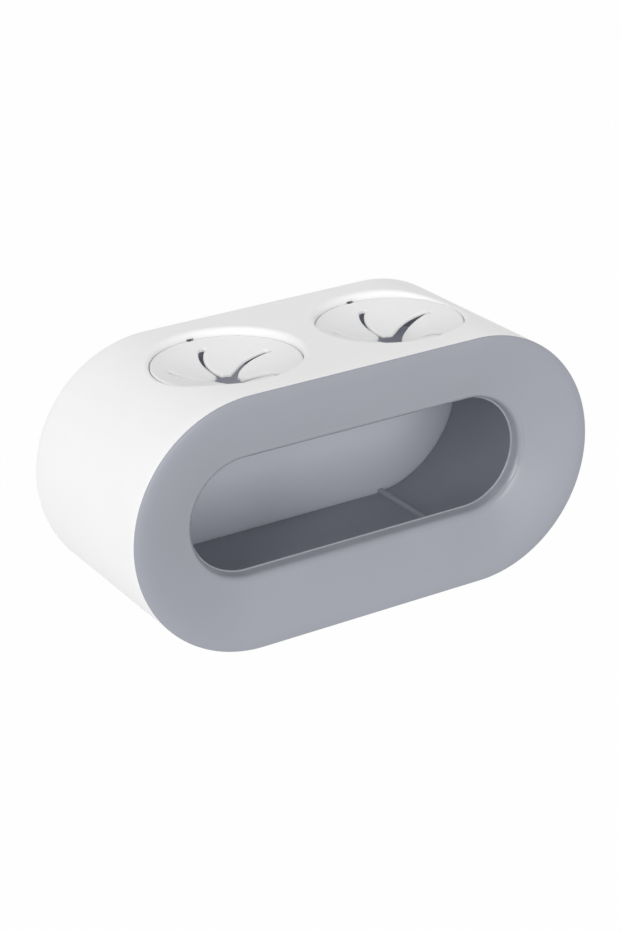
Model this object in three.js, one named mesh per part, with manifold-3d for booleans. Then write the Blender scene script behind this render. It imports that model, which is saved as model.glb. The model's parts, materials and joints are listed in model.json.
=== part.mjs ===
// Wall-mounted toothbrush holder: a white stadium-shaped shell with a dished grey front,
// a grey pocket behind a wide window, and two soft petal clamps in the top.
// Millimetres, +Z up. The wall is the plane y = 0 and the front faces -Y.

import * as THREE from 'three';
import { mergeVertices } from 'three/addons/utils/BufferGeometryUtils.js';
import Module from 'manifold-3d';

// Driving dimensions of the body
const bodyLength = 118;
const bodyHeight = 60;
const bodyDepth = 50.5;
const shellWall = 2.2;
const shellFrontEdge = 0.4;
const shellRearEdge = 1.2;
const fitGap = 0.3;

// Snap beads that hold the front and the back in the shell
const beadHeight = 0.5;
const beadWidth = 0.9;
const beadSetback = 1.2;

// Front bezel
const flangeThickness = 2;
const flangeEdge = 0.8;
const windowHeight = 27.8;
const dishDepth = 4;
const dishSlope = 22;
const lipRound = 1.2;
const lipReach = 8;
const lipWall = 1.8;
const bezelWall = 1.9;
const skirtLength = 3;

// Pocket liner and back panel
const linerWall = 2.2;
const floorRibSpan = 63;
const floorRibWidth = 1;
const floorRibHeight = 0.8;
const panelThickness = 1.9;
const rearRecess = 0.6;

// Foam tape on the back panel
const tapeThickness = 1;
const tapeWidth = 22;
const tapeHeight = 38;
const tapeEndInset = 29;
const tapeCorner = 3;

// Clamp wells in the top of the shell
const wellSideLand = 7.95;
const wellMiddleLand = 8.2;
const wellDepth = 1.7;
const wellRimRound = 0.4;
const cupWall = 1.5;
const ledgeWidth = 2;
const ledgeThickness = 1.6;
const drainRise = 0.4;

// Soft clamp rings, their drain notch, and the rings that hold them from below
const ringRim = 1.9;
const ringSkirt = 1;
const ringBead = 0.6;
const ringBeadHeight = 0.8;
const notchWidth = 1.7;
const notchDepth = 0.7;
const notchAngle = 91;
const retainerThickness = 1.2;
const retainerWidth = 2.2;

// Petals: each is one disc of a pinwheel, ended at its bend line
const petalCount = 5;
const petalThickness = 1;
const petalSlope = 15.6;
const slitGap = 0.7;
const slitBend = 9;
const slitTwist = 18.2;
const slitEndLand = 0.2;
const slitHoleRadius = 0.65;
const slitHoleLand = 0.6;
const firstSlitAngle = 84.2;
const tipHoleRadius = 2.8;
const bendSetback = 1.6;
const ownSlitClear = 0.5;
const nextSlitClear = 1.3;
const extraDroop = { right_petal_2: 8 };

// Facets of the round forms
const bodySegments = 50;
const clampSegments = 40;
const petalSegments = 48;
const arcSteps = 3;
const curveSteps = 4;

// Places that follow from the dimensions
const endRadius = bodyHeight / 2;
const straightHalf = (bodyLength - bodyHeight) / 2;
const frontY = -(bodyDepth - rearRecess + tapeThickness);
const shellInner = endRadius - shellWall;
const shellFrontY = frontY + flangeThickness + fitGap;
const shellRearY = frontY + bodyDepth;
const linerOuter = shellInner - fitGap;
const linerInner = linerOuter - linerWall;
const panelRearY = shellRearY - rearRecess;
const panelFrontY = panelRearY - panelThickness;
const skirtEndY = frontY + flangeThickness + skirtLength;
const tapeX = bodyLength / 2 - tapeEndInset;
const wellRadius = bodyDepth / 2 - wellSideLand;
const clampX = wellRadius + wellMiddleLand / 2;
const clampY = frontY + bodyDepth / 2;
const ledgeTopZ = endRadius - wellDepth - ringRim;
const ledgeBottomZ = ledgeTopZ - ledgeThickness;
const ledgeBore = wellRadius - ledgeWidth;
const cupRadius = wellRadius + cupWall;
const skirtOuter = ledgeBore - fitGap;
const skirtBore = skirtOuter - ringSkirt;
const retainerBore = skirtOuter + fitGap;
const retainerOuter = retainerBore + retainerWidth;
const retainerTopZ = ledgeBottomZ - fitGap;
const retainerBottomZ = retainerTopZ - retainerThickness;
const ringBottomZ = retainerBottomZ - fitGap - ringBeadHeight;
const slitEndRadius = skirtBore - slitEndLand;
const slitHoleCentre = skirtBore - slitHoleLand - slitHoleRadius;
const slope = THREE.MathUtils.degToRad(petalSlope);
const petalPitch = 2 * Math.PI / petalCount;
const bendY = slitEndRadius * Math.cos(petalPitch / 2) - bendSetback;
const bendZ = funnelTopZ(bendY) - petalThickness / 2 / Math.cos(slope);
const tall = 4 * bodyHeight;

const white = new THREE.MeshStandardMaterial({ color: 0xf2f2f2, roughness: 0.42, metalness: 0 });
const softWhite = new THREE.MeshStandardMaterial({ color: 0xeeeeee, roughness: 0.6, metalness: 0 });
const paleGrey = new THREE.MeshStandardMaterial({ color: 0xa4a7b4, roughness: 0.55, metalness: 0 });
const darkGrey = new THREE.MeshStandardMaterial({ color: 0x6c6f7b, roughness: 0.6, metalness: 0 });
const foam = new THREE.MeshStandardMaterial({ color: 0xdcdcd6, roughness: 0.9, metalness: 0 });

const wasm = await Module();
wasm.setup();

// Height of the funnel's upper face at a distance from the clamp's axis.
function funnelTopZ(radius) {
  return endRadius - wellDepth - (wellRadius - radius) * Math.tan(slope);
}

// Closed solid of a three.js geometry: corners merged, collapsed triangles dropped, faces outwards.
function solidOf(geometry) {
  const bare = geometry.clone();
  bare.deleteAttribute('normal');
  bare.deleteAttribute('uv');
  const merged = mergeVertices(bare);
  const place = merged.attributes.position;
  const corners = [0, 1, 2].map(() => new THREE.Vector3());
  const kept = [];
  let volume = 0;
  for (let i = 0; i < merged.index.count; i += 3) {
    const [a, b, c] = [0, 1, 2].map((k) => merged.index.getX(i + k));
    if (a !== b && b !== c && c !== a) {
      [a, b, c].forEach((vertex, k) => corners[k].fromBufferAttribute(place, vertex));
      volume += corners[0].dot(corners[1].cross(corners[2]));
      kept.push(a, b, c);
    }
  }
  const triVerts = Uint32Array.from(volume < 0 ? kept.reverse() : kept);
  return new wasm.Manifold(new wasm.Mesh({ numProp: 3, vertProperties: place.array, triVerts }));
}

// Named mesh of a finished solid.
function piece(name, solid, material) {
  const data = solid.getMesh();
  const geometry = new THREE.BufferGeometry();
  geometry.setAttribute('position', new THREE.BufferAttribute(data.vertProperties, 3));
  geometry.setIndex(new THREE.BufferAttribute(data.triVerts, 1));
  geometry.computeVertexNormals();
  const mesh = new THREE.Mesh(geometry, material);
  mesh.name = name;
  return mesh;
}

// Solid of revolution about the body's depth axis, its two halves drawn apart along X, which gives
// every round section the body's stadium outline. Profile points are radius and y. The facets at
// top and bottom become the straight runs, so they are raised to the true height.
function stadium(profile) {
  const halfFacet = Math.PI / bodySegments;
  const geometry = new THREE.LatheGeometry(profile.getPoints(curveSteps), bodySegments, halfFacet);
  geometry.scale(1, 1, 1 / Math.cos(halfFacet));
  const place = geometry.attributes.position;
  for (let i = 0; i < place.count; i += 1) {
    place.setX(i, place.getX(i) + Math.sign(place.getX(i)) * straightHalf);
  }
  return solidOf(geometry);
}

// Solid of revolution about a clamp's upright axis. Profile points are radius and z.
function upright(profile) {
  const geometry = new THREE.LatheGeometry(profile.getPoints(arcSteps), clampSegments);
  return solidOf(geometry.rotateX(Math.PI / 2));
}

// Upright disc or plug between two heights.
function plug(radius, lowZ, highZ, x = 0, y = 0, segments = clampSegments) {
  const geometry = new THREE.CylinderGeometry(radius, radius, highZ - lowZ, segments).rotateX(Math.PI / 2);
  return solidOf(geometry.translate(x, y, (lowZ + highZ) / 2));
}

// Block between two corners.
function block(low, high) {
  const size = high.map((value, i) => value - low[i]);
  const centre = high.map((value, i) => (value + low[i]) / 2);
  return solidOf(new THREE.BoxGeometry(...size).translate(...centre));
}

// Profile through corner points, closed on itself.
function closedProfile(points) {
  const path = new THREE.Path(points.map(([r, y]) => new THREE.Vector2(r, y)));
  path.closePath();
  return path;
}

// Shell: tube with a rounded back edge, two snap grooves, and a ledged cup under each well, with
// room for the retaining ring below the ledge and a drain slot in the cup's wall.
function outerShell() {
  const profile = new THREE.Path();
  profile.moveTo(shellInner, shellFrontY);
  profile.lineTo(endRadius - shellFrontEdge, shellFrontY);
  profile.lineTo(endRadius, shellFrontY + shellFrontEdge);
  profile.lineTo(endRadius, shellRearY - shellRearEdge);
  profile.absarc(endRadius - shellRearEdge, shellRearY - shellRearEdge, shellRearEdge, 0, Math.PI / 2);
  profile.lineTo(shellInner, shellRearY);
  snapMiddles().reverse().forEach((middleY) => {
    const half = beadWidth / 2 + fitGap;
    profile.lineTo(shellInner, middleY + half);
    profile.lineTo(shellInner + beadHeight, middleY + half);
    profile.lineTo(shellInner + beadHeight, middleY - half);
    profile.lineTo(shellInner, middleY - half);
  });
  profile.closePath();
  const envelope = stadium(closedProfile([[0, shellFrontY], [endRadius, shellFrontY],
    [endRadius, shellRearY - shellRearEdge], [0, shellRearY - shellRearEdge]]));
  let shell = stadium(profile);
  for (const x of [-clampX, clampX]) {
    shell = shell.subtract(plug(retainerOuter + fitGap, 0, ledgeBottomZ, x, clampY));
    shell = shell.add(plug(cupRadius, ledgeBottomZ, endRadius, x, clampY).intersect(envelope));
  }
  for (const x of [-clampX, clampX]) {
    shell = shell.subtract(wellCut().translate([x, clampY, 0]));
    shell = shell.subtract(plug(ledgeBore, 0, tall, x, clampY));
    shell = shell.subtract(drainCut(ledgeBore, cupRadius + fitGap).translate([x, clampY, 0]));
  }
  return shell;
}

// Space of a well: a bore down to the ledge that flares into a rounded rim at the top.
function wellCut() {
  const rimRadius = wellRadius + wellRimRound;
  const profile = new THREE.Path();
  profile.moveTo(0, ledgeTopZ);
  profile.lineTo(wellRadius, ledgeTopZ);
  profile.absarc(rimRadius, endRadius - wellRimRound, wellRimRound, Math.PI, Math.PI / 2, true);
  profile.lineTo(rimRadius, tall);
  profile.lineTo(0, tall);
  profile.closePath();
  return upright(profile);
}

// Space of the drain at the back of a well, between two distances from the clamp's axis.
function drainCut(nearRadius, farRadius) {
  const topZ = endRadius - wellDepth + drainRise;
  const cut = block([nearRadius, -notchWidth / 2, ledgeTopZ], [farRadius, notchWidth / 2, topZ]);
  return cut.rotate([0, 0, notchAngle]);
}

// Depths of the middles of the two snap joints, front first.
function snapMiddles() {
  return [skirtEndY - beadSetback, (panelFrontY + panelRearY) / 2];
}

// Half-section of a snap bead on a skirt of the given radius, from the back towards the front.
function beadPoints(radius, middleY) {
  const half = beadWidth / 2;
  return [[radius, middleY + half], [radius + beadHeight, middleY + half / 2],
    [radius + beadHeight, middleY - half / 2], [radius, middleY - half]];
}

// Bezel: flat rim, dish that steepens towards the window, rounded lip, and a skirt inside the shell.
function frontBezel() {
  const tilt = THREE.MathUtils.degToRad(dishSlope);
  const windowRadius = windowHeight / 2;
  const lipCentreR = windowRadius + lipRound;
  const lipCentreY = frontY + dishDepth + lipRound * Math.cos(tilt);
  const dishEndR = lipCentreR - lipRound * Math.sin(tilt);
  const dishTurnR = dishEndR + dishDepth / Math.tan(tilt);
  const skirtRadius = shellInner - fitGap;
  const skirtInner = skirtRadius - bezelWall;
  const flangeBackY = frontY + flangeThickness;
  const profile = new THREE.Path();
  profile.moveTo(endRadius, flangeBackY);
  profile.absarc(endRadius - flangeEdge, frontY + flangeEdge, flangeEdge, 0, -Math.PI / 2, true);
  profile.quadraticCurveTo(dishTurnR, frontY, dishEndR, frontY + dishDepth);
  profile.absarc(lipCentreR, lipCentreY, lipRound, -Math.PI / 2 - tilt, -Math.PI, true);
  profile.lineTo(windowRadius, frontY + lipReach);
  profile.lineTo(windowRadius + lipWall, frontY + lipReach);
  profile.lineTo(windowRadius + lipWall, frontY + dishDepth + bezelWall);
  profile.quadraticCurveTo(dishTurnR, flangeBackY, skirtInner, flangeBackY);
  profile.lineTo(skirtInner, skirtEndY);
  profile.lineTo(skirtRadius, skirtEndY);
  beadPoints(skirtRadius, snapMiddles()[0]).forEach(([r, y]) => profile.lineTo(r, y));
  profile.lineTo(skirtRadius, flangeBackY);
  profile.closePath();
  return clearOfCups(stadium(profile), ledgeBottomZ - fitGap);
}

// Solid relieved round the two cups that hang from the shell's top, above the given height.
function clearOfCups(solid, lowZ) {
  const relief = (x) => plug(cupRadius + fitGap, lowZ, tall, x, clampY);
  return solid.subtract(relief(-clampX)).subtract(relief(clampX));
}

// Liner: sleeve between bezel skirt and back panel, cut round the cups, with two ribs on its floor.
function innerLiner() {
  const lowY = skirtEndY + fitGap;
  const highY = panelFrontY - fitGap;
  let liner = stadium(closedProfile([[linerInner, lowY], [linerOuter, lowY], [linerOuter, highY],
    [linerInner, highY]]));
  for (const side of [-1, 1]) {
    const ribX = side * floorRibSpan / 2;
    const low = [ribX - floorRibWidth / 2, lowY, -linerInner - linerWall / 2];
    const high = [ribX + floorRibWidth / 2, highY, -linerInner + floorRibHeight];
    liner = liner.add(block(low, high));
  }
  return clearOfCups(liner, 0);
}

// Back panel: plate with a snap bead round its edge.
function backPanel() {
  const edge = beadPoints(shellInner - fitGap, snapMiddles()[1]);
  const radius = edge[0][0];
  return stadium(closedProfile([[0, panelFrontY], [0, panelRearY], [radius, panelRearY], ...edge,
    [radius, panelFrontY]]));
}

// Foam strip with rounded corners, standing between the back panel and the wall.
function tapeStrip(x) {
  const w = tapeWidth / 2;
  const h = tapeHeight / 2;
  const shape = new THREE.Shape();
  shape.absarc(w - tapeCorner, h - tapeCorner, tapeCorner, 0, Math.PI / 2);
  shape.absarc(tapeCorner - w, h - tapeCorner, tapeCorner, Math.PI / 2, Math.PI);
  shape.absarc(tapeCorner - w, tapeCorner - h, tapeCorner, Math.PI, 1.5 * Math.PI);
  shape.absarc(w - tapeCorner, tapeCorner - h, tapeCorner, 1.5 * Math.PI, 2 * Math.PI);
  const options = { depth: tapeThickness, bevelEnabled: false, curveSegments: arcSteps };
  const geometry = new THREE.ExtrudeGeometry(shape, options).rotateX(Math.PI / 2);
  return solidOf(geometry.translate(x, panelRearY + tapeThickness, 0));
}

// Plan of the pinwheel in a petal's own frame: the bend line is parallel to X and the clamp's axis
// is the origin. Each slit is an arc from the centre hole to its outer end.
function slitCentre(outerAngle) {
  const outer = new THREE.Vector2(slitEndRadius, 0).rotateAround(new THREE.Vector2(), outerAngle);
  const twist = THREE.MathUtils.degToRad(slitTwist);
  const inner = new THREE.Vector2(tipHoleRadius, 0).rotateAround(new THREE.Vector2(), outerAngle + twist);
  const chord = outer.clone().sub(inner);
  const rise = Math.sqrt(slitBend ** 2 - chord.lengthSq() / 4);
  const across = new THREE.Vector2(chord.y, -chord.x).normalize();
  return inner.add(outer).multiplyScalar(0.5).addScaledVector(across, rise);
}

// Place of the relief hole at the outer end of a slit, on the slit's own arc.
function slitHole(centre) {
  const away = centre.length();
  const cosine = (slitHoleCentre ** 2 + away ** 2 - slitBend ** 2) / (2 * slitHoleCentre * away);
  const angle = centre.angle() + Math.acos(cosine);
  return new THREE.Vector2(slitHoleCentre, 0).rotateAround(new THREE.Vector2(), angle);
}

const ownSlit = slitCentre(Math.PI / 2 + petalPitch / 2);
const nextSlit = slitCentre(Math.PI / 2 - petalPitch / 2);

// X of the two ends of a petal's bend line, kept clear of the slits beside it.
function bendEnds() {
  const ownRadius = slitBend - slitGap / 2;
  const nextRadius = slitBend + slitGap / 2;
  const start = ownSlit.x - Math.sqrt(ownRadius ** 2 - (bendY - ownSlit.y) ** 2);
  const end = nextSlit.x - Math.sqrt(nextRadius ** 2 - (bendY - nextSlit.y) ** 2);
  return [start + ownSlitClear, end - nextSlitClear];
}

// Petal: disc cut by the next petal's slit and the centre hole, with a round bar on its bend line.
function petalBlade() {
  const half = petalThickness / 2;
  const [barStart, barEnd] = bendEnds();
  let blade = plug(slitBend - slitGap / 2, -half, half, ownSlit.x, ownSlit.y, petalSegments);
  blade = blade.subtract(plug(slitBend + slitGap / 2, -tall, tall, nextSlit.x, nextSlit.y, petalSegments));
  blade = blade.subtract(plug(tipHoleRadius, -tall, tall));
  blade = blade.subtract(block([-tall, bendY, -tall], [tall, tall, tall]));
  blade = blade.subtract(block([barEnd, -tall, -tall], [tall, tall, tall]));
  const bar = new THREE.CylinderGeometry(half, half, barEnd - barStart, 4 * arcSteps).rotateZ(Math.PI / 2);
  return blade.add(solidOf(bar.translate((barStart + barEnd) / 2, bendY, 0)));
}

// Opening that one petal, the slit beside it and the slit's relief hole leave in the ring.
function petalWindow() {
  const hole = slitHole(ownSlit);
  const rootY = bendY + petalThickness / 2 + fitGap;
  const window = plug(slitBend + slitGap / 2, -tall, tall, ownSlit.x, ownSlit.y, petalSegments)
    .subtract(plug(slitBend - slitGap / 2, -tall, tall, nextSlit.x, nextSlit.y, petalSegments))
    .subtract(block([-tall, rootY, -tall], [tall, tall, tall]));
  return window.add(plug(slitHoleRadius, -tall, tall, hole.x, hole.y, 4 * arcSteps));
}

// Turn of a petal's own frame about the clamp's axis, in radians.
function petalTurn(index) {
  return THREE.MathUtils.degToRad(firstSlitAngle - 90) - (index + 0.5) * petalPitch;
}

// Soft ring: rim on the ledge, funnel web cut by the petal windows, and a beaded skirt below.
function clampRing() {
  const rimRadius = wellRadius - fitGap;
  const webInner = bendY - petalThickness;
  const drop = petalThickness / Math.cos(slope);
  let ring = upright(closedProfile([[webInner, funnelTopZ(webInner)], [rimRadius, funnelTopZ(rimRadius)],
    [rimRadius, ledgeTopZ], [skirtOuter, ledgeTopZ],
    [skirtOuter, ringBottomZ + ringBeadHeight], [skirtOuter + ringBead, ringBottomZ + ringBeadHeight],
    [skirtOuter, ringBottomZ], [skirtBore, ringBottomZ],
    [skirtBore, funnelTopZ(skirtBore) - drop], [webInner, funnelTopZ(webInner) - drop]]));
  const window = petalWindow();
  for (let i = 0; i < petalCount; i += 1) {
    ring = ring.subtract(window.rotate([0, 0, THREE.MathUtils.radToDeg(petalTurn(i))]));
  }
  return ring.subtract(drainCut(rimRadius - notchDepth, cupRadius));
}

// Stiff ring pressed over the skirt's bead, under the ledge.
function retainingRing() {
  return upright(closedProfile([[retainerBore, retainerBottomZ], [retainerOuter, retainerBottomZ],
    [retainerOuter, retainerTopZ], [retainerBore, retainerTopZ]]));
}

// One clamp: soft ring, retaining ring and five petals that droop into a funnel.
function petalClamp(side, x) {
  const clamp = new THREE.Group();
  clamp.position.set(x, clampY, 0);
  clamp.add(piece(`${side}_clamp_ring`, clampRing(), softWhite));
  clamp.add(piece(`${side}_retaining_ring`, retainingRing(), white));
  for (let i = 0; i < petalCount; i += 1) {
    const name = `${side}_petal_${i + 1}`;
    const droop = slope + THREE.MathUtils.degToRad(extraDroop[name] ?? 0);
    const blade = piece(name, petalBlade(), softWhite);
    blade.geometry.translate(0, -bendY, 0);
    blade.geometry.scale(1, 1 / Math.cos(slope), 1);
    const hinge = new THREE.Group();
    hinge.position.set(0, bendY, bendZ);
    hinge.rotation.x = droop;
    hinge.add(blade);
    const turn = new THREE.Group();
    turn.rotation.z = petalTurn(i);
    turn.add(hinge);
    clamp.add(turn);
  }
  return clamp;
}

const holder = new THREE.Group();
holder.add(piece('outer_shell', outerShell(), white));
holder.add(piece('front_bezel', frontBezel(), paleGrey));
holder.add(piece('inner_liner', innerLiner(), darkGrey));
holder.add(piece('back_panel', backPanel(), paleGrey));
holder.add(piece('tape_left', tapeStrip(-tapeX), foam));
holder.add(piece('tape_middle', tapeStrip(0), foam));
holder.add(piece('tape_right', tapeStrip(tapeX), foam));
holder.add(petalClamp('left', -clampX));
holder.add(petalClamp('right', clampX));

export default holder;
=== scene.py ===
# %% [markdown]
# # A wall holder for two toothbrushes
# The holder is a short white tube of stadium section with a grey dished front. Brushes hang in two
# soft petal clamps in its top, and their handles reach into a grey pocket behind a wide window.
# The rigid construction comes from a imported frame. This lesson dresses it: each piece is worked out
# again as a fine surface on numpy arrays, and each surface gets a finish made of shader nodes.

# %% Load the frame
import json
import math

import bmesh
import bpy
import numpy as np
from mathutils import Matrix, Vector


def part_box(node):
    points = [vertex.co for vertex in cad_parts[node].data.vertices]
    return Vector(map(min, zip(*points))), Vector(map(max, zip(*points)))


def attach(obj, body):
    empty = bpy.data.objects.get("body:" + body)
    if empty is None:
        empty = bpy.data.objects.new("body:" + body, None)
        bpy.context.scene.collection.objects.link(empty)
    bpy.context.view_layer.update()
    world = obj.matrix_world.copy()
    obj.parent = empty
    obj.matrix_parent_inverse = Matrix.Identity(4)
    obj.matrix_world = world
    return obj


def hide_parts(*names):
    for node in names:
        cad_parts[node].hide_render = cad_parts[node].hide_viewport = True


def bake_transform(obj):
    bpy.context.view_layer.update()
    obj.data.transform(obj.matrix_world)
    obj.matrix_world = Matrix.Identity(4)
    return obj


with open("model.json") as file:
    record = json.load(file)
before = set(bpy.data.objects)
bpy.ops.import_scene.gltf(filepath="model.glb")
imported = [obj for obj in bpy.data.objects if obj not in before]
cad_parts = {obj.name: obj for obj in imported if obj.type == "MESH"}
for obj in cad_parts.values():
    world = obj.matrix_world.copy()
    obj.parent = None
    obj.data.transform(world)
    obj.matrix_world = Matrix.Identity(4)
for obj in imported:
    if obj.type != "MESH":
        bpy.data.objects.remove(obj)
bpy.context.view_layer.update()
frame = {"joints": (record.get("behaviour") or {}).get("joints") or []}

# %% [markdown]
# ## Sizes
# Sizes are written in millimetres, as on a drawing, and turned into metres when a mesh is made.
# What the frame already knows is read from its boxes, so that the two can't drift apart. Only sizes
# that no box shows, such as a wall or a rounding, are written here, in the cell that first needs them.

# %% Sizes that the frame gives
MM = 0.001
FIT_GAP = 0.3


def corners(node):
    """Lowest and highest corner of a node of the frame, in millimetres."""
    low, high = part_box(node)
    return np.array(low) / MM, np.array(high) / MM


shell_low, shell_high = corners("outer_shell")
bezel_low, bezel_high = corners("front_bezel")
liner_low, liner_high = corners("inner_liner")
panel_low, panel_high = corners("back_panel")
END_RADIUS = shell_high[2]
STRAIGHT_HALF = shell_high[0] - END_RADIUS
FRONT_Y = bezel_low[1]
LINER_OUTER = liner_high[2]
SHELL_INNER = LINER_OUTER + FIT_GAP
print(f"end radius {END_RADIUS:.1f}, straight half {STRAIGHT_HALF:.1f}, front at y {FRONT_Y:.1f}")

# %% [markdown]
# ## From arrays to grids
# A moulded piece could be cut from primitives with modifiers, but then each change of size is work by
# hand. Here a piece is sewn from grids: points in rows and columns, worked out as whole arrays. A grid
# may close on itself like a tube, and its first or last row may be shut by one flat face.

# %% Grids


def quads(rows, columns, loop_rows, loop_columns):
    """Corner numbers of a grid's faces: each joins a point, its right neighbour and the two below."""
    row = np.arange(rows if loop_rows else rows - 1)[:, None]
    column = np.arange(columns if loop_columns else columns - 1)[None, :]
    right = (column + 1) % columns
    here = row * columns
    below = (row + 1) % rows * columns
    return np.stack([here + column, here + right, below + right, below + column], -1).reshape(-1, 4)


def grid(points, loop_rows=False, loop_columns=False, shut=()):
    """Points, faces and lids of one grid. shut lists the rows, 0 or -1, that one flat face closes."""
    rows, columns = points.shape[:2]
    number = np.arange(rows * columns).reshape(rows, columns)
    return points.reshape(-1, 3), quads(rows, columns, loop_rows, loop_columns), number[list(shut)]


print("faces of a sheet of 3 by 4 points:", len(quads(3, 4, False, False)))

# %% [markdown]
# ## From grids to pieces
# Grids that meet have the same points along the edge they share, so merging the doubles sews them into
# one closed skin, with no boolean to leave thin faces. Faces are then turned outwards, shaded smooth
# and creased where they meet at a wide angle. A closed piece prints no open edges.

# %% Pieces
SEWING_DISTANCE = 0.002 * MM
SLIVER_DISTANCE = SEWING_DISTANCE / 10
CREASE_ANGLE = math.radians(38)


def piece(name, grids, material):
    """One mesh object sewn from grids, in metres, with its faces turned outwards and its creases sharp."""
    points = np.concatenate([points for points, _, _ in grids]) * MM
    starts = np.cumsum([0] + [len(points) for points, _, _ in grids])
    faces = []
    for start, (_, cells, lids) in zip(starts, grids):
        faces += (cells + start).tolist() + (lids + start).tolist()
    mesh = bpy.data.meshes.new(name)
    mesh.from_pydata(points, [], faces)
    sewn = bmesh.new()
    sewn.from_mesh(mesh)
    bmesh.ops.remove_doubles(sewn, verts=sewn.verts, dist=SEWING_DISTANCE)
    bmesh.ops.dissolve_degenerate(sewn, edges=sewn.edges, dist=SLIVER_DISTANCE)
    bmesh.ops.recalc_face_normals(sewn, faces=sewn.faces)
    open_edges = sum(not edge.is_manifold for edge in sewn.edges)
    sewn.to_mesh(mesh)
    sewn.free()
    mesh.shade_smooth()
    mesh.set_sharp_from_angle(angle=CREASE_ANGLE)
    mesh.materials.append(material)
    made = bpy.data.objects.new(name, mesh)
    bpy.context.scene.collection.objects.link(made)
    print(f"{name}: {len(mesh.polygons)} faces, {open_edges} open edges")
    return made


print("crease angle:", round(math.degrees(CREASE_ANGLE)), "degrees")

# %% [markdown]
# ## Profiles with rounded corners
# No moulded edge is knife sharp, and one moulding has many radii, where a Bevel modifier would give all
# edges one width. So a profile is drawn with plain corners, and each corner is then replaced by an arc
# of its own radius. The arc's centre lies on the corner's bisector, and its points follow by turning
# from one tangent point to the other.

# %% Arcs, curves and rounded corners
ARC_STEPS = 6
LEAST_ROUND = 1e-4


def unit(rows):
    """Rows of vectors, each divided by its own length."""
    return rows / np.linalg.norm(rows, axis=1, keepdims=True)


def arc(centre, radius, start, end, steps=ARC_STEPS):
    """Points on a circle from a start angle to an end angle, in degrees."""
    turn = np.radians(np.linspace(start, end, steps + 1))
    return np.array(centre) + radius * np.stack([np.cos(turn), np.sin(turn)], 1)


def curve(start, control, end, steps):
    """Quadratic curve: the control point pulls a line from start to end, most in its middle."""
    t = np.linspace(0, 1, steps + 1)[:, None]
    return (1 - t) ** 2 * np.array(start) + 2 * t * (1 - t) * np.array(control) + t ** 2 * np.array(end)


def rounded(corner_list, closed=True):
    """Profile through corners (radius, height, rounding), each corner turned into an arc.

    The tangent points lie rounding / tan(half the corner's angle) away from the corner, and the arc
    swings between them about a centre on the bisector."""
    given = np.array(corner_list, float)
    place, size = given[:, :2], np.maximum(given[:, 2:], LEAST_ROUND)
    back = unit(np.roll(place, 1, 0) - place)
    ahead = unit(np.roll(place, -1, 0) - place)
    half = np.arccos(np.clip((back * ahead).sum(1, keepdims=True), -1, 1)) / 2
    middle = place + unit(back + ahead) * size / np.sin(half)
    first = place + back * size / np.tan(half) - middle
    last = place + ahead * size / np.tan(half) - middle
    share = np.linspace(0, 1, ARC_STEPS + 1)[None, :, None]
    turn = (np.pi - 2 * half)[:, None]
    swing = np.sin((1 - share) * turn) * first[:, None] + np.sin(share * turn) * last[:, None]
    points = (middle[:, None] + swing / np.sin(turn)).reshape(-1, 2)
    if closed:
        return points
    return np.concatenate([place[:1], points[ARC_STEPS + 1:-ARC_STEPS - 1], place[-1:]])


print("points for each rounded corner:", ARC_STEPS + 1)

# %% [markdown]
# ## Two ways to carry a profile
# Seen from the front, the shell, the grey front, the sleeve and the back plate are all stadiums: straight
# runs between two half circles. A path round a stadium is a row of arc centres along X with an angle
# each, and a profile carried round it makes the whole ring at once, with no joint to hide. The rings of
# the clamps are round, so their profiles are turned about an upright axis.

# %% Swept and turned grids
END_COLUMNS = 64
TURN_COLUMNS = 120
end_turn = np.linspace(-90, 90, END_COLUMNS + 1)
STADIUM = (np.repeat([STRAIGHT_HALF, -STRAIGHT_HALF], END_COLUMNS + 1),
           np.radians(np.concatenate([end_turn, end_turn + 180])))


def swept(profile, path):
    """Profile points (radius, y) carried round a path of arc centres along X and angles about Y."""
    shift, turn = (np.asarray(part)[:, None] for part in path)
    radius, depth = profile[None, :, 0], profile[None, :, 1]
    x = shift + radius * np.cos(turn)
    z = radius * np.sin(turn)
    return np.stack([x, np.broadcast_to(depth, x.shape), z], -1)


def turned(radius, height, turn, centre):
    """Profile of radii and heights turned about the upright axis through centre, at the given angles."""
    x = centre[0] + radius * np.cos(turn)[:, None]
    y = centre[1] + radius * np.sin(turn)[:, None]
    return np.stack([x, y, np.broadcast_to(height, x.shape)], -1)


print("stadium columns:", len(STADIUM[0]))

# %% [markdown]
# ## Shader arithmetic
# A finish is a small sum of textures. Wrapping a socket in a class with +, - and * lets that sum be
# written as it would be on paper, and each operator adds the Math node for it. Any other node comes
# from one method that takes its type, its settings and what goes into its sockets.

# %% Sockets that can be calculated with


class Wire:
    """A node socket that Python operators can calculate with."""

    def __init__(self, tree, socket=None):
        self.tree = tree
        self.socket = socket

    def node(self, kind, settings=None, inputs=None, output=0):
        """New node: its settings are set first, then its sockets get values or links."""
        made = self.tree.nodes.new(kind)
        for key, value in (settings or {}).items():
            setattr(made, key, value)
        for key, value in (inputs or {}).items():
            if isinstance(value, Wire):
                self.tree.links.new(value.socket, made.inputs[key])
            else:
                made.inputs[key].default_value = value
        return Wire(self.tree, made.outputs[output])

    def math(self, operation, left, right):
        """Math node on two numbers or wires."""
        return self.node("ShaderNodeMath", {"operation": operation}, {0: left, 1: right})

    def __add__(self, other):
        return self.math("ADD", self, other)

    def __mul__(self, other):
        return self.math("MULTIPLY", self, other)

    def __sub__(self, other):
        return self.math("SUBTRACT", self, other)

    def __rsub__(self, other):
        return self.math("SUBTRACT", other, self)

    __radd__ = __add__
    __rmul__ = __mul__


print("operators: + - *")

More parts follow.
